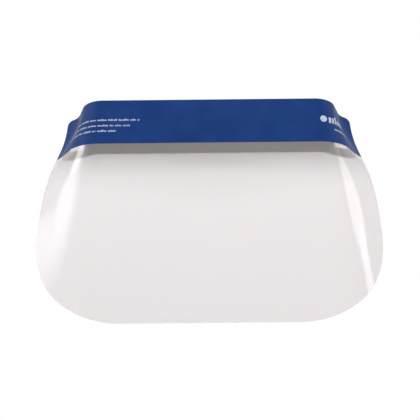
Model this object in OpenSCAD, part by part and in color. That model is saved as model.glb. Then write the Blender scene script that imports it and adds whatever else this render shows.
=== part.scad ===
// Disposable full-face splash shield, drawn as it is worn and at its real size in millimetres.
// +X is to the viewer's right, -Y is the front, +Y is towards the head and +Z is up.
// The origin is the centre of the forehead pad's rear face, where the pad meets the forehead.

/* [Visor film] */
// Width of the film before it is bent
film_w = 330; // [326:1:334]
// Height of the film
film_h = 220; // [200:1:240]
// Thickness of the film
film_t = 0.25; // [0.2:0.05:0.4]
// Radius of the film's two top corners
top_corner_r = 6; // [4:0.5:8]
// Radius of the film's two bottom corners
bottom_corner_r = 86; // [60:1:90]

/* [Film bend] */
// Half width of the flat front panel at the top edge
panel_half_w = 102; // [101.5:0.5:104]
// How much that half width grows for each millimetre of depth
panel_flare = 0.06; // [0:0.01:0.1]
// Bend radius at the top edge
bend_r_top = 22; // [21:0.5:26]
// Bend radius far below the band
bend_r_low = 65; // [55:1:75]
// Bend angle at the top edge
bend_a_top = 70; // [66:0.5:74]
// Bend angle far below the band
bend_a_low = 31; // [26:0.5:36]
// Depth over which the bend opens from its top values to its low ones
bend_reach = 70; // [60:1:80]
// Straight stretch between the bend and the outward curl
wing_straight = 16; // [15:0.5:18]
// Outward curl of the wing's tip at the top edge
curl_a_top = 42; // [30:0.5:46]
// Length of film that the curl takes
curl_length = 16; // [14:0.5:18]
// Depth over which the curl fades out
curl_reach = 85; // [70:1:100]

/* [Brow band] */
// Height of the printed band
band_h = 46; // [45:0.5:48]
// Thickness of the printed band
band_t = 0.15; // [0.1:0.05:0.3]

/* [Forehead pad] */
// Width of the foam pad
pad_w = 244; // [238:1:244]
// Height of the foam pad
pad_h = 45; // [42:0.5:45]
// Thickness of the foam pad
pad_t = 27; // [25:0.5:28]
// Radius of the pad's two front upright edges, which the film bends around
pad_edge_r = 20; // [19.5:0.5:21]
// Width of the double-sided tape
tape_w = 196; // [180:1:197]
// Height of the double-sided tape
tape_h = 40; // [30:1:42]
// Thickness of the double-sided tape
tape_t = 0.3; // [0.2:0.05:0.5]

/* [Head strap] */
// Width of the knitted elastic
strap_w = 12; // [10:0.5:14]
// Thickness of the knitted elastic
strap_t = 1.2; // [0.8:0.1:1.4]
// Height of the strap's back stretch above the pad's middle
strap_z = 7; // [5:0.5:9]
// Height of the strap's glued ends, which show a little below the band
strap_tab_z = -19; // [-20:0.5:-14]
// Where the glued end starts, measured along the film from the middle
tab_start = 140.5; // [140:0.5:141]
// Length of the glued end
tab_length = 13; // [11:0.5:14]
// Radius at which the strap turns in behind the pad
strap_turn_r = 8; // [7:0.5:9]
// Half width of the strap's back stretch, which goes behind the head
strap_back_half_w = 75; // [70:1:80]
// Radius of the back stretch at rest
strap_back_r = 300; // [260:5:340]

/* [Hidden] */

// Smoothness of the exact arcs
$fn = 96;
// Gap that keeps the glue and the strap from cutting into the curved film
glue_gap = 0.1;
// Thickness of the glue between film and strap
glue_t = 0.3;
// Gap between the strap's three stretches, which are one piece on the real object
seam_gap = 0.02;
// Smallest curl, which keeps the curl's radius finite where the wing's tip is straight
min_curl = 0.5;
// Height of the band's and the film's top edge
top_z = pad_h / 2 + 0.5;
// Depth of the film's middle surface in front of the origin
film_y = pad_t + tape_t + film_t / 2;

// ---- The film's shape: level sections of arcs and straights, which change with depth v ----

function fade(v, reach) = exp(-pow(v / reach, 2));
function bend_start(v) = panel_half_w + panel_flare * v;
function bend_r(v) = bend_r_low + (bend_r_top - bend_r_low) * fade(v, bend_reach);
function bend_a(v) = bend_a_low + (bend_a_top - bend_a_low) * fade(v, bend_reach);
function curl_a(v) = max(min_curl, curl_a_top * fade(v, curl_reach));

// Half the film's width at depth v, measured along the film
function half_width(v) =
    v < top_corner_r
    ? film_w / 2 - top_corner_r + sqrt(pow(top_corner_r, 2) - pow(top_corner_r - v, 2))
    : v > film_h - bottom_corner_r
    ? film_w / 2 - bottom_corner_r
        + sqrt(max(0, pow(bottom_corner_r, 2) - pow(v - film_h + bottom_corner_r, 2)))
    : film_w / 2;

// An arc of radius r from heading a0, turned left by a degrees: how far it moves in x and y
function arc_step(r, a0, a) = r * [sin(a0 + a) - sin(a0), cos(a0) - cos(a0 + a)];
function ray(a, length) = length * [cos(a), sin(a)];

// [x, y, heading] on the right half's level section, u along the film from its middle
function section(u, v) =
    let (
        a = bend_a(v),
        r = bend_r(v),
        c = curl_a(v),
        s0 = bend_start(v),
        s1 = s0 + r * a * PI / 180,
        s2 = s1 + wing_straight,
        curl_r = curl_length * 180 / PI / c,
        bent = min(a, max(0, (u - s0) / r * 180 / PI)),
        curled = min(c, max(0, (u - s2) / curl_r * 180 / PI)),
        p = [min(u, s0), -film_y]
            + arc_step(r, 0, bent)
            + ray(a, min(wing_straight, max(0, u - s1)))
            + arc_step(-curl_r, a, -curled)
            + ray(a - c, max(0, u - s2 - curl_length))
    )
    [p.x, p.y, bent - curled];

// A point of the film moved out by d from its middle surface; u is negative on the left half
function film_point(u, v, d) =
    let (s = section(abs(u), v), side = sign(u))
    [side * (s.x + d * sin(s.z)), s.y - d * cos(s.z), top_z - v];

// ---- Grids ----

// Rows: round the top corners, down the band, down the film and round the bottom corners
corner_rows = [for (a = [0:30:60]) top_corner_r * (1 - cos(a))];
band_steps = 5;
band_rows = [for (i = [0:band_steps]) top_corner_r + (band_h - top_corner_r) * i / band_steps];
side_end = film_h - bottom_corner_r;
side_steps = 8;
side_rows = [for (i = [1:side_steps]) band_h + (side_end - band_h) * i / side_steps];
bottom_rows = [for (a = [10:10:90]) side_end + bottom_corner_r * sin(a)];
label_rows = concat(corner_rows, band_rows);
film_rows = concat(label_rows, side_rows, bottom_rows);

// Columns, as fractions of the half width: close together where the film bends
half_columns = concat([0.3], [for (i = [0:20]) 0.6 + 0.02 * i]);
last_column = len(half_columns) - 1;
columns = concat(
    [for (i = [last_column:-1:0]) -half_columns[i]],
    [0],
    half_columns
);

// A closed slab between two surfaces that share one grid of rows and columns
module slab(front, back) {
    rows = len(front);
    cols = len(front[0]);
    size = rows * cols;
    function at(j, i) = j * cols + i;
    // Each cell's diagonal leans outward, so the left half mirrors the right one
    function cell(a, b, c, d, mirrored) = mirrored ? [[a, b, c], [a, c, d]] : [[a, b, d], [b, c, d]];
    front_faces = [
        for (j = [0:rows - 2], i = [0:cols - 2])
            each cell(at(j, i), at(j, i + 1), at(j + 1, i + 1), at(j + 1, i), i < (cols - 1) / 2)
    ];
    back_faces = [for (f = front_faces) [f[2] + size, f[1] + size, f[0] + size]];
    rim = concat(
        [for (i = [0:cols - 1]) at(0, i)],
        [for (j = [1:rows - 1]) at(j, cols - 1)],
        [for (i = [cols - 2:-1:0]) at(rows - 1, i)],
        [for (j = [rows - 2:-1:1]) at(j, 0)]
    );
    rim_faces = [
        for (k = [0:len(rim) - 1])
            let (a = rim[k], b = rim[(k + 1) % len(rim)])
            each [[b, a, a + size], [b, a + size, b + size]]
    ];
    points = concat([for (row = front) each row], [for (row = back) each row]);
    polyhedron(points, concat(front_faces, back_faces, rim_faces), convexity = 6);
}

function film_grid(rows, d) =
    [for (v = rows) [for (s = columns) film_point(s * half_width(v), v, d)]];

// ---- The film, its band, the pad and its tape ----

module visor_film() {
    color([0.86, 0.9, 0.92, 0.35])
        slab(film_grid(film_rows, film_t / 2), film_grid(film_rows, -film_t / 2));
}

module brow_band() {
    color([0.05, 0.16, 0.42])
        slab(film_grid(label_rows, film_t / 2 + band_t), film_grid(label_rows, film_t / 2));
}

// The pad from above, with its front edges rounded and its rear face flat on y = 0
module pad_outline() {
    intersection() {
        translate([-pad_w / 2, -pad_t])
            square([pad_w, pad_t]);
        union() {
            translate([-pad_w / 2 + pad_edge_r, -pad_t])
                square([pad_w - 2 * pad_edge_r, pad_t]);
            translate([-pad_w / 2, -pad_t + pad_edge_r])
                square([pad_w, pad_t]);
            for (side = [-1, 1])
                translate([side * (pad_w / 2 - pad_edge_r), -pad_t + pad_edge_r])
                    circle(pad_edge_r);
        }
    }
}

module foam_pad() {
    color([0.93, 0.93, 0.91])
        translate([0, 0, -pad_h / 2])
            linear_extrude(pad_h)
                pad_outline();
}

module pad_tape() {
    color([0.97, 0.97, 0.95])
        translate([-tape_w / 2, -pad_t - tape_t, -tape_h / 2])
            cube([tape_w, tape_t, tape_h]);
}

// ---- The strap: glued inside each wing, turned in and up behind the pad, and across the back ----

// Heading at the end of the back stretch, and the heading that the turn ends on
back_a = asin(strap_back_half_w / strap_back_r);
turn_end_a = 180 - back_a;
tab_end = tab_start + tab_length;
// Depth of the strap's own middle line inside the film's middle surface
strap_in = film_t / 2 + glue_t + 2 * glue_gap + strap_t / 2;
tab_steps = 4;
turn_steps = 10;
run_steps = 8;

// [x, y, heading] along the strap's middle line on the right side, at depth v on the film
function tab_mid(u, v) =
    let (s = section(u, v))
    [s.x - strap_in * sin(s.z), s.y + strap_in * cos(s.z), s.z];
function turn_mid(k, v) =
    let (
        s = tab_mid(tab_end, v),
        a = (turn_end_a - s.z) * k,
        p = [s.x, s.y] + arc_step(strap_turn_r, s.z, a)
    )
    [p.x, p.y, s.z + a];

tab_v = top_z - strap_tab_z;
turn_out = turn_mid(1, tab_v);
back_end_y = turn_out.y + (turn_out.x - strap_back_half_w) * tan(back_a);
back_centre_y = back_end_y - strap_back_r * cos(back_a);
// The run ends a seam's width short of the back stretch
run_end = [
    strap_back_half_w + seam_gap * cos(back_a),
    back_end_y - seam_gap * sin(back_a),
    turn_end_a
];

// Share of the length from the glued end to the back stretch that the turn takes
turn_length = strap_turn_r * (turn_end_a - tab_mid(tab_end, tab_v).z) * PI / 180;
run_length = norm([turn_out.x - run_end.x, turn_out.y - run_end.y]);
turn_share = turn_length / (turn_length + run_length);

// Height of the strap's middle: it rises smoothly from its glued end to its back stretch
function rise(k) = strap_tab_z + (strap_z - strap_tab_z) * k * k * (3 - 2 * k);

// [x, y, heading, height of the middle] along the right side, at depth v on the film
function strap_line(v) = concat(
    [
        for (i = [0:tab_steps])
            concat(tab_mid(tab_start + tab_length * i / tab_steps, v), [strap_tab_z])
    ],
    [for (i = [1:turn_steps]) concat(turn_mid(i / turn_steps, v), [rise(turn_share * i / turn_steps)])],
    [
        for (i = [1:run_steps])
            let (k = i / run_steps)
            concat(
                turn_mid(1, v) * (1 - k) + run_end * k,
                [rise(turn_share + (1 - turn_share) * k)]
            )
    ]
);

// One side of the strap: a ribbon whose upper and lower edges follow the film where it is glued
module strap_side(side) {
    function edge(dz, d) = [
        for (p = strap_line(tab_v - dz))
            [side * (p.x + d * sin(p.z)), p.y - d * cos(p.z), p[3] + dz]
    ];
    heights = [strap_w / 2, 0, -strap_w / 2];
    outer = [for (dz = heights) edge(dz, strap_t / 2)];
    inner = [for (dz = heights) edge(dz, -strap_t / 2)];
    color([0.95, 0.95, 0.94])
        if (side > 0) slab(outer, inner);
        else slab(inner, outer);
}

module strap_center() {
    color([0.95, 0.95, 0.94])
        translate([0, back_centre_y, strap_z - strap_w / 2])
            rotate([0, 0, 90 - back_a])
                rotate_extrude(angle = 2 * back_a, $fn = 720)
                    translate([strap_back_r - strap_t / 2, 0])
                        square([strap_t, strap_w]);
}

// Hot-melt patch between the film and the strap's end
module strap_bond(side) {
    patch_w = strap_w - 2;
    patch_start = tab_start + 1;
    patch_length = tab_length - 2;
    steps = 4;
    near = film_t / 2 + glue_gap;
    function edge(dz, d) = [
        for (i = [0:steps])
            film_point(side * (patch_start + patch_length * i / steps), tab_v - dz, -d)
    ];
    heights = [patch_w / 2, 0, -patch_w / 2];
    outer = [for (dz = heights) edge(dz, near)];
    inner = [for (dz = heights) edge(dz, near + glue_t)];
    color([0.9, 0.88, 0.8])
        if (side > 0) slab(outer, inner);
        else slab(inner, outer);
}

visor_film();
brow_band();
foam_pad();
pad_tape();
strap_side(-1);  // strap_left
strap_center();
strap_side(1);  // strap_right
strap_bond(-1);  // strap_bond_left
strap_bond(1);  // strap_bond_right
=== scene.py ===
"""The looks of a disposable face shield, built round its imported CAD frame. Metres, in the row frame."""

import math
import random

import bpy
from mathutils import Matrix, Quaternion, Vector


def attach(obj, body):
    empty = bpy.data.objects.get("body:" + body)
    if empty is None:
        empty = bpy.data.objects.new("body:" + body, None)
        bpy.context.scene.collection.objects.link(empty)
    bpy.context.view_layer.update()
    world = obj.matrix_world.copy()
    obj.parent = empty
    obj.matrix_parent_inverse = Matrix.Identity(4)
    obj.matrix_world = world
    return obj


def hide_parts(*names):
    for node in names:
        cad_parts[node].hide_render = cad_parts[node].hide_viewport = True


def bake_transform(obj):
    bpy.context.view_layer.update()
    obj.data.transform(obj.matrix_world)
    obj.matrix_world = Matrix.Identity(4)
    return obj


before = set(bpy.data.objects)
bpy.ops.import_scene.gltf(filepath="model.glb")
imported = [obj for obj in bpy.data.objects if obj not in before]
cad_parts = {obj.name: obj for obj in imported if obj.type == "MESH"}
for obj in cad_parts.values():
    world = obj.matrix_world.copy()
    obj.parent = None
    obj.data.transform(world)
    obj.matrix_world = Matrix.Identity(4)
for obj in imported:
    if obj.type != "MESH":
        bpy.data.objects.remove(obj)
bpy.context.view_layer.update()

MM = 0.001

# ---------------------------------------------------------------- sizes, in millimetres

FILM_W, FILM_H, FILM_T = 330.0, 220.0, 0.25
TOP_CORNER_R, BOTTOM_CORNER_R = 6.0, 86.0
PANEL_HALF_W, PANEL_FLARE = 102.0, 0.06
BEND_R_TOP, BEND_R_LOW = 22.0, 65.0
BEND_A_TOP, BEND_A_LOW, BEND_REACH = 70.0, 31.0, 70.0
WING_STRAIGHT = 16.0
CURL_A_TOP, CURL_LENGTH, CURL_REACH, MIN_CURL = 42.0, 16.0, 85.0, 0.5
BAND_H, BAND_T, BAND_GAP = 46.0, 0.15, 0.02
INK_T, INK_GAP = 0.03, 0.01
PAD_W, PAD_H, PAD_T = 244.0, 45.0, 27.0
PAD_EDGE_R, PAD_REAR_R, PAD_TOP_GAP = 20.0, 1.6, 0.5
PAD_INSET, PAD_VOXEL, PORE_SPACING, PORE_DEPTH = 0.35, 1.5, 3.5, 0.4
TAPE_T = 0.3
STRAP_W, STRAP_T, RIBS, RIB_RELIEF, SELVEDGE = 12.0, 1.2, 6, 0.14, 0.5
STITCH_PITCH = 1.2
STRAP_Z, STRAP_TAB_Z = 7.0, -19.0
TAB_START, TAB_LENGTH, STRAP_TURN_R = 140.5, 13.0, 8.0
STRAP_BACK_HALF_W, STRAP_BACK_R = 75.0, 300.0
GLUE_T, GLUE_GAP = 0.3, 0.1
TOP_Z = PAD_H / 2 + PAD_TOP_GAP
FILM_Y = PAD_T + TAPE_T + FILM_T / 2
BAND_IN = FILM_T / 2 + BAND_GAP
BAND_OUT = BAND_IN + BAND_T

# ---------------------------------------------------------------- the film's shape


def fade(v, reach):
    return math.exp(-((v / reach) ** 2))


def clamp(x, low, high):
    return min(high, max(low, x))


def section(u, v):
    """(x, y, heading) on the right half's level section, u along the film from its middle, at depth v."""
    bend_a = math.radians(BEND_A_LOW + (BEND_A_TOP - BEND_A_LOW) * fade(v, BEND_REACH))
    bend_r = BEND_R_LOW + (BEND_R_TOP - BEND_R_LOW) * fade(v, BEND_REACH)
    curl_a = math.radians(max(MIN_CURL, CURL_A_TOP * fade(v, CURL_REACH)))
    curl_r = CURL_LENGTH / curl_a
    bend_start = PANEL_HALF_W + PANEL_FLARE * v
    wing_start = bend_start + bend_r * bend_a
    bent = clamp((u - bend_start) / bend_r, 0, bend_a)
    wing = clamp(u - wing_start, 0, WING_STRAIGHT)
    curled = clamp((u - wing_start - WING_STRAIGHT) / curl_r, 0, curl_a)
    tip = max(0, u - wing_start - WING_STRAIGHT - CURL_LENGTH)
    end_a = bend_a - curl_a
    x = min(u, bend_start) + bend_r * math.sin(bent) + wing * math.cos(bend_a)
    x += curl_r * (math.sin(bend_a) - math.sin(bend_a - curled)) + tip * math.cos(end_a)
    y = bend_r * (1 - math.cos(bent)) + wing * math.sin(bend_a) - FILM_Y
    y += curl_r * (math.cos(bend_a - curled) - math.cos(bend_a)) + tip * math.sin(end_a)
    return x, y, bent - curled


def film_point(u, v, d):
    """A point of the film in metres, moved out by d from its middle surface."""
    x, y, heading = section(abs(u), v)
    side = math.copysign(1, u)
    return (
        side * (x + d * math.sin(heading)) * MM,
        (y - d * math.cos(heading)) * MM,
        (TOP_Z - v) * MM,
    )


def half_width(v):
    """Half the film's width at depth v, measured along the film."""
    if v < TOP_CORNER_R:
        return FILM_W / 2 - TOP_CORNER_R + math.sqrt(TOP_CORNER_R**2 - (TOP_CORNER_R - v) ** 2)
    below = v - (FILM_H - BOTTOM_CORNER_R)
    if below > 0:
        return FILM_W / 2 - BOTTOM_CORNER_R + math.sqrt(max(0, BOTTOM_CORNER_R**2 - below**2))
    return FILM_W / 2


def spread(low, high, count):
    return [low + (high - low) * i / count for i in range(count + 1)]


# ---------------------------------------------------------------- mesh helpers


def new_object(name, verts, faces, material):
    mesh = bpy.data.meshes.new(name)
    mesh.from_pydata(verts, [], faces)
    mesh.validate()
    mesh.materials.append(material)
    obj = bpy.data.objects.new(name, mesh)
    bpy.context.scene.collection.objects.link(obj)
    return obj


def slab_data(front, back, first=0):
    """Vertices and faces of a closed slab between two grids, both lists of rows of points."""
    rows, cols = len(front), len(front[0])
    size = rows * cols

    def at(j, i):
        return first + j * cols + i

    faces = []
    for j in range(rows - 1):
        for i in range(cols - 1):
            quad = (at(j, i), at(j + 1, i), at(j + 1, i + 1), at(j, i + 1))
            faces.append(quad)
            faces.append(tuple(k + size for k in reversed(quad)))
    rim = [at(0, i) for i in range(cols)]
    rim += [at(j, cols - 1) for j in range(1, rows)]
    rim += [at(rows - 1, i) for i in range(cols - 2, -1, -1)]
    rim += [at(j, 0) for j in range(rows - 2, 0, -1)]
    rim_faces = [(a, b, b + size, a + size) for a, b in zip(rim, rim[1:] + rim[:1])]
    verts = [p for row in front for p in row] + [p for row in back for p in row]
    return verts, faces, rim_faces


def slab(name, front, back, material):
    """A closed slab with smooth faces and a crisp rim."""
    verts, faces, rim_faces = slab_data(front, back)
    obj = new_object(name, verts, faces + rim_faces, material)
    mesh = obj.data
    for poly in mesh.polygons:
        poly.use_smooth = True
    rim_edges = set()
    for face in rim_faces:
        rim_edges.add(frozenset(face[:2]))
        rim_edges.add(frozenset(face[2:]))
    for edge in mesh.edges:
        edge.use_edge_sharp = frozenset(edge.vertices) in rim_edges
    return obj


# ---------------------------------------------------------------- node helpers


class Nodes:
    """A short way to write the node tree of a material, a lamp or the world."""

    def __init__(self, owner, output):
        owner.use_nodes = True
        self.owner = owner
        self.tree = owner.node_tree
        self.tree.nodes.clear()
        self.output = self.add(output)

    def add(self, kind, settings=None, **inputs):
        node = self.tree.nodes.new(kind)
        for key, value in (settings or {}).items():
            setattr(node, key, value)
        for key, value in inputs.items():
            self.put(node.inputs[key.replace("_", " ")], value)
        return node

    def put(self, socket, value):
        if isinstance(value, bpy.types.NodeSocket):
            self.tree.links.new(value, socket)
        else:
            socket.default_value = value

    def math(self, operation, a, b=0.0):
        node = self.add("ShaderNodeMath", {"operation": operation})
        self.put(node.inputs[0], a)
        self.put(node.inputs[1], b)
        return node.outputs[0]

    def ramp(self, factor, stops):
        """A colour that goes between two stops, each a place and a colour."""
        node = self.add("ShaderNodeValToRGB", Fac=factor)
        for element, (place, colour) in zip(node.color_ramp.elements, stops):
            element.position = place
            element.color = (*colour, 1)
        return node.outputs["Color"]

    def mix(self, factor, a, b):
        node = self.add("ShaderNodeMixShader")
        self.put(node.inputs[0], factor)
        self.put(node.inputs[1], a)
        self.put(node.inputs[2], b)
        return node.outputs[0]

    def smooth(self, value, start, end, low=0.0, high=1.0):
        """Turns value smoothly from low at start to high at end."""
        settings = {"interpolation_type": "SMOOTHSTEP"}
        ends = {"From_Min": start, "From_Max": end, "To_Min": low, "To_Max": high}
        return self.add("ShaderNodeMapRange", settings, Value=value, **ends).outputs[0]

    def noise(self, vector, scale, detail=2.0):
        return self.add("ShaderNodeTexNoise", Vector=vector, Scale=scale, Detail=detail).outputs["Fac"]

    def bump(self, height, distance):
        return self.add("ShaderNodeBump", Height=height, Distance=distance, Strength=1.0).outputs[0]

    def place(self, space="Object"):
        return self.add("ShaderNodeTexCoord").outputs[space]

    def finish(self, shader):
        self.put(self.output.inputs["Surface"], shader)
        return self.owner


def material_nodes(name):
    return Nodes(bpy.data.materials.new(name), "ShaderNodeOutputMaterial")


# ---------------------------------------------------------------- materials


HAZE, HEAD_ON_MIRROR = 0.33, 0.05


def film_material():
    """Clear polyester film. Each face lets most light through, scatters some and mirrors a little."""
    n = material_nodes("clear_film")
    through = n.add("ShaderNodeBsdfTransparent", Color=(0.946, 0.922, 0.925, 1))
    haze = n.add("ShaderNodeBsdfTranslucent", Color=(0.953, 0.928, 0.931, 1))
    sheet = n.mix(HAZE, through.outputs[0], haze.outputs[0])
    ripple = n.noise(n.place(), 9.0, 1.0)
    mirror = n.add("ShaderNodeBsdfGlossy", Roughness=0.05, Normal=n.bump(ripple, 0.0012))
    facing = n.add("ShaderNodeLayerWeight", Blend=0.5).outputs["Facing"]
    grazing = n.math("MULTIPLY", n.math("POWER", facing, 5.0), 1 - HEAD_ON_MIRROR)
    return n.finish(n.mix(n.math("ADD", grazing, HEAD_ON_MIRROR), sheet, mirror.outputs[0]))


def band_material():
    """Dark blue printed laminate: even ink with a slight mottle, and a semi-gloss face."""
    n = material_nodes("band_print")
    mottle = n.noise(n.place(), 55.0, 3.0)
    ink = n.ramp(mottle, [(0.35, (0.011, 0.049, 0.215)), (0.65, (0.014, 0.058, 0.245))])
    orange_peel = n.noise(n.place(), 900.0, 2.0)
    shader = n.add(
        "ShaderNodeBsdfPrincipled",
        Base_Color=ink,
        Roughness=0.5,
        IOR=1.3,
        Normal=n.bump(orange_peel, 0.00004),
    )
    return n.finish(shader.outputs[0])


def ink_material():
    """Pale ink of the generic print."""
    n = material_nodes("pale_ink")
    wear = n.noise(n.place(), 1400.0, 2.0)
    ink = n.ramp(wear, [(0.35, (0.52, 0.6, 0.82)), (0.6, (0.78, 0.83, 0.94))])
    shader = n.add("ShaderNodeBsdfPrincipled", Base_Color=ink, Roughness=0.4)
    return n.finish(shader.outputs[0])


def foam_material():
    """Open-cell polyurethane foam: off-white, with small pores that are bumped in and darkened by painted
    shade.
    """
    n = material_nodes("foam")
    place = n.place()
    cells = n.add("ShaderNodeTexVoronoi", Vector=place, Scale=900.0)
    coarse = n.add("ShaderNodeTexVoronoi", Vector=place, Scale=380.0)
    depth = n.math("MINIMUM", cells.outputs["Distance"], n.math("ADD", coarse.outputs["Distance"], 0.08))
    # Painted shade: the colour darkens where the pores dip in, standing in for the shade inside them; the
    # off-white between them is the foam's own colour.
    colour = n.ramp(depth, [(0.04, (0.33, 0.325, 0.3)), (0.34, (0.715, 0.715, 0.66))])
    shader = n.add(
        "ShaderNodeBsdfPrincipled",
        Base_Color=colour,
        Roughness=0.95,
        Normal=n.bump(depth, 0.0006),
    )
    return n.finish(shader.outputs[0])


def elastic_material():
    """Knitted elastic: ribs along its length and fine stitches across, from the strap's UV in metres. Its
    colour has random tone, plus painted shade in the valleys between ribs and stitches.
    """
    n = material_nodes("elastic")
    uv = n.add("ShaderNodeUVMap", {"uv_map": "strap"}).outputs["UV"]
    parts = n.add("ShaderNodeSeparateXYZ", Vector=uv)
    stitch_turn, rib_turn = 2 * math.pi / (STITCH_PITCH * MM), 2 * math.pi * RIBS / (STRAP_W * MM)
    stitch = n.math("SINE", n.math("MULTIPLY", parts.outputs["X"], stitch_turn))
    ribs = n.math("COSINE", n.math("MULTIPLY", parts.outputs["Y"], rib_turn))
    knit = n.math("ADD", n.math("MULTIPLY", stitch, 0.08), n.math("MULTIPLY", ribs, 0.3))
    height = n.math("ADD", knit, n.noise(uv, 1500.0, 3.0))
    # Painted shade and random tone: the colour darkens at the knit's low points between ribs and stitches,
    # and the noise varies it at random.
    colour = n.ramp(height, [(0.05, (0.5, 0.5, 0.49)), (0.85, (0.84, 0.84, 0.825))])
    shader = n.add(
        "ShaderNodeBsdfPrincipled",
        Base_Color=colour,
        Roughness=0.85,
        Sheen_Weight=0.25,
        Normal=n.bump(height, 0.00018),
    )
    return n.finish(shader.outputs[0])


def plain_material(name, low, high, roughness):
    """A matte material with a faint mottle, for the tape and the glue."""
    n = material_nodes(name)
    colour = n.ramp(n.noise(n.place(), 300.0, 3.0), [(0.35, low), (0.65, high)])
    shader = n.add("ShaderNodeBsdfPrincipled", Base_Color=colour, Roughness=roughness)
    return n.finish(shader.outputs[0])


# ---------------------------------------------------------------- film, band and print

FLAT_SHARE, FLAT_STEPS, BENT_STEPS = 0.56, 18, 46
HALF_COLUMNS = spread(0.0, FLAT_SHARE, FLAT_STEPS)[1:] + spread(FLAT_SHARE, 1.0, BENT_STEPS)[1:]
COLUMNS = [-s for s in reversed(HALF_COLUMNS)] + [0.0] + HALF_COLUMNS
CORNER_ROWS = [TOP_CORNER_R * (1 - math.cos(a)) for a in spread(0, math.pi / 2, 7)]
LABEL_ROWS = CORNER_ROWS + spread(TOP_CORNER_R, BAND_H, 18)[1:]
SIDE_END = FILM_H - BOTTOM_CORNER_R
SIDE_ROWS = spread(BAND_H, SIDE_END, 34)[1:]
BOTTOM_ROWS = [SIDE_END + BOTTOM_CORNER_R * math.sin(a) for a in spread(0, math.pi / 2, 36)[1:]]


def film_grid(rows, d):
    """A grid over the film's width at the given depths, moved out by d. It is finer at the bends."""
    return [[film_point(s * half_width(v), v, d) for s in COLUMNS] for v in rows]


def make_film(material):
    rows = LABEL_ROWS + SIDE_ROWS + BOTTOM_ROWS
    film = slab(
        "clear_visor", film_grid(rows, FILM_T / 2), film_grid(rows, -FILM_T / 2), material
    )
    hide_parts("visor_film")
    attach(film, "shield")


def make_band(material):
    band = slab(
        "printed_band", film_grid(LABEL_ROWS, BAND_OUT), film_grid(LABEL_ROWS, BAND_IN), material
    )
    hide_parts("brow_band")
    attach(band, "shield")


# The print on the band. Each line of dashes has its depth, start and end, and the underline its four sides.
DASH_LINES = ((21.4, -146, -66), (27.3, -148, -75), (33.0, -146, -88))
DASH_HALF_H, DASH_RISE = 0.7, 0.55
DASH_MIN_W, DASH_MAX_W = 0.6, 1.0
DASH_GAP, GROUP_GAP = 0.45, 1.3
MARK_U, MARK_V, MARK_R = 110.0, 21.5, 3.4
BAR_HEIGHTS = (6.0, 6.0, 8.5, 6.0, 6.0, 8.5)
BAR_START, BAR_PITCH, BAR_W = 5.4, 3.8, 2.5
UNDERLINE = (121.0, 143.0, 30.6, 31.8)
INK_STEP = 1.5


def ink_patch(rows):
    """Front and back grids of one printed patch: rows of (u, v) on the band."""
    near, far = BAND_OUT + INK_GAP, BAND_OUT + INK_GAP + INK_T
    front = [[film_point(u, v, far) for u, v in row] for row in rows]
    back = [[film_point(u, v, near) for u, v in row] for row in rows]
    return front, back


def ink_block(u0, u1, v0, v1):
    steps = max(1, round((u1 - u0) / INK_STEP))
    return ink_patch([[(u, v) for u in spread(u0, u1, steps)] for v in (v0, v1)])


def ink_disc(u, v, radius):
    rows, cap = [], math.radians(8)
    for a in spread(cap, math.pi - cap, 12):
        half = radius * math.sin(a)
        rows.append([(u + x, v - radius * math.cos(a)) for x in spread(-half, half, 6)])
    return ink_patch(rows)


def dash_patches():
    """Three greeked lines on the left: small dashes in groups, not lettering."""
    rng = random.Random(7)
    patches = []
    for v, start, end in DASH_LINES:
        u = start
        while u < end:
            for _ in range(rng.randint(3, 8)):
                width = rng.uniform(DASH_MIN_W, DASH_MAX_W)
                top = v - DASH_HALF_H - rng.choice((0.0, 0.0, 0.0, DASH_RISE))
                patches.append(ink_block(u, min(u + width, end), top, v + DASH_HALF_H))
                u += width + DASH_GAP
                if u >= end:
                    break
            u += GROUP_GAP
    return patches


def mark_patches():
    """A plain mark on the right: a disc, a row of bars and a line under them."""
    patches = [ink_disc(MARK_U, MARK_V, MARK_R)]
    foot = MARK_V + MARK_R
    for i, height in enumerate(BAR_HEIGHTS):
        u = MARK_U + BAR_START + BAR_PITCH * i
        patches.append(ink_block(u, u + BAR_W, foot - height, foot))
    patches.append(ink_block(*UNDERLINE))
    return patches


def make_print(material):
    verts, faces = [], []
    for front, back in dash_patches() + mark_patches():
        new_verts, new_faces, rim_faces = slab_data(front, back, len(verts))
        verts += new_verts
        faces += new_faces + rim_faces
    ink = new_object("generic_print", verts, faces, material)
    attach(ink, "shield")


# ---------------------------------------------------------------- forehead pad


def pad_outline():
    """The pad from above, a little small: its front edges well rounded, its rear ones slightly."""
    half = PAD_W / 2 - PAD_INSET
    front_x, rear_x = half - PAD_EDGE_R, half - PAD_REAR_R
    front_y, rear_y = -PAD_T + PAD_INSET + PAD_EDGE_R, -PAD_INSET - PAD_REAR_R
    points = []
    corners = (
        (front_x, front_y, PAD_EDGE_R, -90, 12),
        (rear_x, rear_y, PAD_REAR_R, 0, 4),
        (-rear_x, rear_y, PAD_REAR_R, 90, 4),
        (-front_x, front_y, PAD_EDGE_R, 180, 12),
    )
    for x, y, r, start, steps in corners:
        for a in spread(math.radians(start), math.radians(start + 90), steps):
            points.append((x + r * math.cos(a), y + r * math.sin(a)))
    return points


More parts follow.
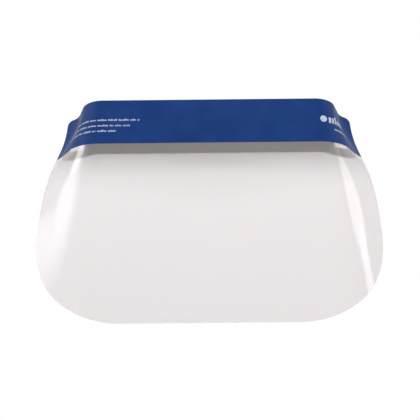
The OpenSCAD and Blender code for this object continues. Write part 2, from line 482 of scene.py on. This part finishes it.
def make_pad(material):
    """A cut block of foam: rounded by a voxel remesh, then roughened like open cells."""
    outline = pad_outline()
    half = PAD_H / 2 - PAD_INSET
    count = len(outline)
    verts = [(x * MM, y * MM, z * MM) for z in (-half, half) for x, y in outline]
    faces = [tuple(reversed(range(count))), tuple(range(count, 2 * count))]
    for i in range(count):
        j = (i + 1) % count
        faces.append((i, j, j + count, i + count))
    pad = new_object("foam_forehead_pad", verts, faces, material)
    remesh = pad.modifiers.new("cells", "REMESH")
    remesh.mode = "VOXEL"
    remesh.voxel_size = PAD_VOXEL * MM
    remesh.use_smooth_shade = True
    soften = pad.modifiers.new("soften", "SMOOTH")
    soften.factor, soften.iterations = 0.5, 2
    pores = bpy.data.textures.new("pores", "CLOUDS")
    pores.noise_scale = PORE_SPACING * MM
    rough = pad.modifiers.new("pores", "DISPLACE")
    rough.texture = pores
    rough.strength = PORE_DEPTH * MM
    rough.mid_level = 0.75
    apply_modifiers(pad)
    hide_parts("foam_pad")
    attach(pad, "shield")


def apply_modifiers(obj):
    graph = bpy.context.evaluated_depsgraph_get()
    mesh = bpy.data.meshes.new_from_object(obj.evaluated_get(graph))
    obj.modifiers.clear()
    obj.data = mesh


# ---------------------------------------------------------------- strap

STRAP_IN = FILM_T / 2 + GLUE_T + 2 * GLUE_GAP + STRAP_T / 2
BACK_A = math.asin(STRAP_BACK_HALF_W / STRAP_BACK_R)
TURN_END_A = math.pi - BACK_A
TAB_V = TOP_Z - STRAP_TAB_Z
TAB_END = TAB_START + TAB_LENGTH
FACE_UV_GAP = 20.0


def tab_mid(u, v):
    """(x, y, heading) of the strap's middle line where it is glued inside the right wing."""
    x, y, heading = section(u, v)
    return x - STRAP_IN * math.sin(heading), y + STRAP_IN * math.cos(heading), heading


def turn_mid(share, v):
    """(x, y, heading) on the arc that leaves the glued end and turns in behind the pad."""
    x, y, heading = tab_mid(TAB_END, v)
    a = (TURN_END_A - heading) * share
    x += STRAP_TURN_R * (math.sin(heading + a) - math.sin(heading))
    y += STRAP_TURN_R * (math.cos(heading) - math.cos(heading + a))
    return x, y, heading + a


TURN_OUT = turn_mid(1, TAB_V)
BACK_END_Y = TURN_OUT[1] + (TURN_OUT[0] - STRAP_BACK_HALF_W) * math.tan(BACK_A)
BACK_CENTRE_Y = BACK_END_Y - STRAP_BACK_R * math.cos(BACK_A)
TURN_LENGTH = STRAP_TURN_R * (TURN_END_A - tab_mid(TAB_END, TAB_V)[2])
RUN_LENGTH = (TURN_OUT[0] - STRAP_BACK_HALF_W) / math.cos(BACK_A)
TURN_SHARE = TURN_LENGTH / (TURN_LENGTH + RUN_LENGTH)


def rise(k):
    """Height of the strap's middle, from its glued end to its back stretch."""
    return STRAP_TAB_Z + (STRAP_Z - STRAP_TAB_Z) * k * k * (3 - 2 * k)


def side_line(v):
    """(x, y, heading, height) along the strap's right side: glued end, turn, and run to the back."""
    line = [(*tab_mid(u, v), STRAP_TAB_Z) for u in spread(TAB_START, TAB_END, 12)]
    line += [(*turn_mid(k, v), rise(TURN_SHARE * k)) for k in spread(0, 1, 18)[1:]]
    x, y, heading, _ = line[-1]
    for k in spread(0, 1, 44)[1:]:
        height = rise(TURN_SHARE + (1 - TURN_SHARE) * k)
        line.append((x + (STRAP_BACK_HALF_W - x) * k, y + (BACK_END_Y - y) * k, heading, height))
    return line


def back_line():
    """(x, y, heading, height) along the back stretch, from its right end to its left end."""
    line = []
    for a in spread(BACK_A, -BACK_A, 130):
        x, y = STRAP_BACK_R * math.sin(a), BACK_CENTRE_Y + STRAP_BACK_R * math.cos(a)
        line.append((x, y, math.pi - a, STRAP_Z))
    return line


def rib_profile():
    """(z, thickness share) across the strap: its ribs, thinning to a rounded edge at both sides."""
    thinnest, steps = 0.03, 54
    profile = []
    for z in spread(-STRAP_W / 2, STRAP_W / 2, steps):
        edge = min(1, (STRAP_W / 2 - abs(z)) / SELVEDGE)
        rib = 1 - RIB_RELIEF + RIB_RELIEF * math.cos(2 * math.pi * RIBS * z / STRAP_W)
        share = rib * math.sqrt(max(0.0, 1 - (1 - edge) ** 2))
        profile.append((z, share * (1 - thinnest) + thinnest))
    return profile


def line_length(line):
    return sum(math.hypot(b[0] - a[0], b[1] - a[1]) for a, b in zip(line, line[1:]))


def ribbon_points(lines, side, start_length):
    """Rings of vertices along the lines, and the UV in metres of each: length, and place round the ring."""
    profile = rib_profile()
    middle = lines[len(lines) // 2]
    ring_order = [(i, 1) for i in range(len(profile))]
    ring_order += [(i, -1) for i in range(len(profile) - 1, -1, -1)]
    verts, uvs = [], []
    for k in range(len(middle)):
        length = start_length + line_length(middle[: k + 1])
        for i, face in ring_order:
            z, share = profile[i]
            x, y, heading, height = lines[i][k]
            d = face * share * STRAP_T / 2
            px, py = x + d * math.sin(heading), y - d * math.cos(heading)
            verts.append((side * px * MM, py * MM, (height + z) * MM))
            uvs.append((length * MM, (z + face * FACE_UV_GAP) * MM))
    return verts, uvs


def ribbon_faces(count, ring_size, side):
    """Faces between count rings of vertices, and one at each end."""
    faces = []
    for k in range(count - 1):
        for i in range(ring_size):
            a, b = k * ring_size + i, k * ring_size + (i + 1) % ring_size
            faces.append((a, b, b + ring_size, a + ring_size))
    faces.append(tuple(range(ring_size - 1, -1, -1)))
    faces.append(tuple(range((count - 1) * ring_size, count * ring_size)))
    if side < 0:
        faces = [tuple(reversed(face)) for face in faces]
    return faces


def ribbon(name, lines, side, start_length, material):
    """A ribbed ribbon along lines of (x, y, heading, height), one line for each z of the profile."""
    verts, uvs = ribbon_points(lines, side, start_length)
    obj = new_object(name, verts, ribbon_faces(len(lines[0]), 2 * len(lines), side), material)
    layer = obj.data.uv_layers.new(name="strap")
    for loop in obj.data.loops:
        layer.data[loop.index].uv = uvs[loop.vertex_index]
    for poly in obj.data.polygons:
        poly.use_smooth = len(poly.vertices) == 4
    return obj


def make_strap(material):
    """The strap's two sides and its back stretch, in one weave from end to end."""
    heights = [z for z, _ in rib_profile()]
    side_lines = [side_line(TAB_V - z) for z in heights]
    for side, name, node in ((-1, "elastic_left", "strap_left"), (1, "elastic_right", "strap_right")):
        piece = ribbon(name, side_lines, side, 0.0, material)
        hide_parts(node)
        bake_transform(piece)
    side_length = line_length(side_lines[len(heights) // 2])
    back = ribbon("elastic_back", [back_line()] * len(heights), 1, side_length, material)
    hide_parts("strap_center")
    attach(back, "strap_back")


# ---------------------------------------------------------------- stage, light and camera

# In metres, degrees and millimetres of lens. The world's values are shares of full white.
FLOOR_Z, FLOOR_HALF, FLOOR_GLOW = -1.55, 9.0, 0.55
WORLD_FRONT, WORLD_BACK, WORLD_LOW, WORLD_TOP = 0.12, 1.0, 0.05, 1.0
WORLD_LIGHT = 0.15
LAMP_TARGET = (0, 0, -0.07)
CAMERA_TARGET, CAMERA_DISTANCE = (0.0007, -0.0274, -0.0915), 0.778
CAMERA_AZIMUTH, CAMERA_ELEVATION, CAMERA_ROLL = 0.23, -21.6, 0.47
LENS, SENSOR = 72.9, 36.0


def make_floor():
    """A plain pale floor far below, as the shield is held at head height. It throws no light back up."""
    corners = ((-1, -1), (1, -1), (1, 1), (-1, 1))
    verts = [(x * FLOOR_HALF, y * FLOOR_HALF, FLOOR_Z) for x, y in corners]
    floor = new_object("floor", verts, [(0, 1, 2, 3)], floor_material())
    floor.visible_diffuse = False
    floor.visible_glossy = False


def floor_material():
    """Pale in the middle, and nothing at all towards the rim."""
    n = material_nodes("floor")
    distance = n.add("ShaderNodeVectorMath", {"operation": "LENGTH"}, Vector=n.place())
    matte = n.add("ShaderNodeBsdfDiffuse", Color=(0.86, 0.86, 0.86, 1))
    glow = n.add("ShaderNodeEmission", Color=(1, 1, 1, 1), Strength=FLOOR_GLOW)
    pale = n.add("ShaderNodeAddShader")
    n.put(pale.inputs[0], matte.outputs[0])
    n.put(pale.inputs[1], glow.outputs[0])
    away = n.add("ShaderNodeBsdfTransparent")
    near = n.math("DIVIDE", distance.outputs["Value"], FLOOR_HALF)
    return n.finish(n.mix(n.smooth(near, 0.25, 0.8), pale.outputs[0], away.outputs[0]))


def aim(obj, target, azimuth, elevation, distance):
    """Puts obj where it looks at target. Azimuth 0 is in front, and 90 on the viewer's right."""
    a, e = math.radians(azimuth), math.radians(elevation)
    obj.location = (
        target[0] + distance * math.sin(a) * math.cos(e),
        target[1] - distance * math.cos(a) * math.cos(e),
        target[2] + distance * math.sin(e),
    )
    direction = [t - p for t, p in zip(target, obj.location)]
    obj.rotation_mode = "QUATERNION"
    obj.rotation_quaternion = Vector(direction).to_track_quat("-Z", "Y")


def fade_rim(lamp, softness):
    """Dims an oval lamp towards its rim, over the given share of its radius."""
    n = Nodes(lamp, "ShaderNodeOutputLight")
    middle = n.add("ShaderNodeVectorMath", {"operation": "SUBTRACT"})
    n.put(middle.inputs[0], n.place("UV"))
    n.put(middle.inputs[1], (0.5, 0.5, 0.0))
    radius = n.add("ShaderNodeVectorMath", {"operation": "LENGTH"}, Vector=middle.outputs[0])
    bright = n.smooth(radius.outputs["Value"], 0.5, 0.5 * (1 - softness))
    n.finish(n.add("ShaderNodeEmission", Strength=bright).outputs[0])


def softbox(name, toward, size, power, distance=1.3, rim=0.0, lights=True, mirrored=True):
    """An oval lamp, in degrees, metres and watts. It lights surfaces, shows as a reflection, or both."""
    lamp = bpy.data.lights.new(name, "AREA")
    lamp.shape, lamp.energy = "ELLIPSE", power
    lamp.size, lamp.size_y = size
    if rim:
        fade_rim(lamp, rim)
    obj = bpy.data.objects.new(name, lamp)
    bpy.context.scene.collection.objects.link(obj)
    aim(obj, LAMP_TARGET, *toward, distance)
    obj.visible_camera = False
    obj.visible_diffuse = lights
    obj.visible_glossy = mirrored


def make_lights():
    """Two soft boxes, lamps that only add highlights to the film's bends, and three fill lights."""
    softbox("left_box", (-64, 23), (1.15, 0.5), 4.6, rim=0.65)
    softbox("left_wedge", (-61, 31.5), (0.49, 0.2), 1.25, rim=0.2, lights=False)
    softbox("left_tail", (-76, 15), (0.35, 0.25), 0.18, rim=0.6, lights=False)
    softbox("left_low", (-64, -14), (0.45, 0.85), 2.2, rim=0.6, lights=False)
    softbox("right_low", (64, -14), (0.45, 0.85), 2.2, rim=0.6, lights=False)
    softbox("rear_low", (140, -16), (0.5, 0.5), 2.0, rim=0.8, lights=False)
    softbox("right_box", (64, 23), (0.62, 0.4), 1.8, rim=0.25)
    softbox("right_tail", (68, 14.5), (0.33, 0.26), 0.66, rim=0.4, lights=False)
    softbox("rear_top", (180, 42), (1.6, 0.6), 21.8, mirrored=False)
    softbox("front_top", (0, 38), (1.0, 0.6), 17, distance=1.4, mirrored=False)
    softbox("below", (90, -65), (0.5, 0.5), 2.2, distance=0.8, mirrored=False)


def make_world():
    """White where it is seen. As a light, a white room behind the shield, dim in front and below."""
    world = bpy.data.worlds.new("studio")
    bpy.context.scene.world = world
    n = Nodes(world, "ShaderNodeOutputWorld")
    parts = n.add("ShaderNodeSeparateXYZ", Vector=n.place("Generated"))
    depth = n.smooth(parts.outputs["Y"], -0.5, 0.2, WORLD_FRONT, WORLD_BACK)
    height = n.smooth(parts.outputs["Z"], -0.4, 0.35, WORLD_LOW, WORLD_TOP)
    path = n.add("ShaderNodeLightPath")
    share = n.add("ShaderNodeMapRange", Value=path.outputs["Is Glossy Ray"], To_Min=WORLD_LIGHT)
    strength = n.math("MULTIPLY", n.math("MULTIPLY", depth, height), share.outputs[0])
    room = n.add("ShaderNodeBackground", Color=(1, 1, 1, 1), Strength=strength)
    white = n.add("ShaderNodeBackground", Color=(1, 1, 1, 1))
    n.finish(n.mix(path.outputs["Is Camera Ray"], room.outputs[0], white.outputs[0]))


def make_camera():
    """The photograph's view: from the front and from below the shield."""
    data = bpy.data.cameras.new("camera")
    data.sensor_width, data.lens = SENSOR, LENS
    data.clip_start, data.clip_end = 0.01, 50
    camera = bpy.data.objects.new("camera", data)
    bpy.context.scene.collection.objects.link(camera)
    aim(camera, CAMERA_TARGET, CAMERA_AZIMUTH, CAMERA_ELEVATION, CAMERA_DISTANCE)
    camera.rotation_quaternion @= Quaternion((0, 0, 1), -math.radians(CAMERA_ROLL))
    bpy.context.scene.camera = camera


def main():
    bpy.context.scene.view_settings.view_transform = "Standard"
    make_camera()
    make_world()
    make_lights()
    make_floor()
    make_film(film_material())
    make_band(band_material())
    make_print(ink_material())
    make_pad(foam_material())
    make_strap(elastic_material())
    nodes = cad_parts
    tape = plain_material("tape", (0.78, 0.77, 0.72), (0.86, 0.85, 0.81), 0.6)
    glue = plain_material("hot_melt", (0.6, 0.56, 0.44), (0.72, 0.67, 0.55), 0.35)
    for name, material in (("pad_tape", tape), ("strap_bond_left", glue), ("strap_bond_right", glue)):
        nodes[name].data.materials.clear()
        nodes[name].data.materials.append(material)


main()
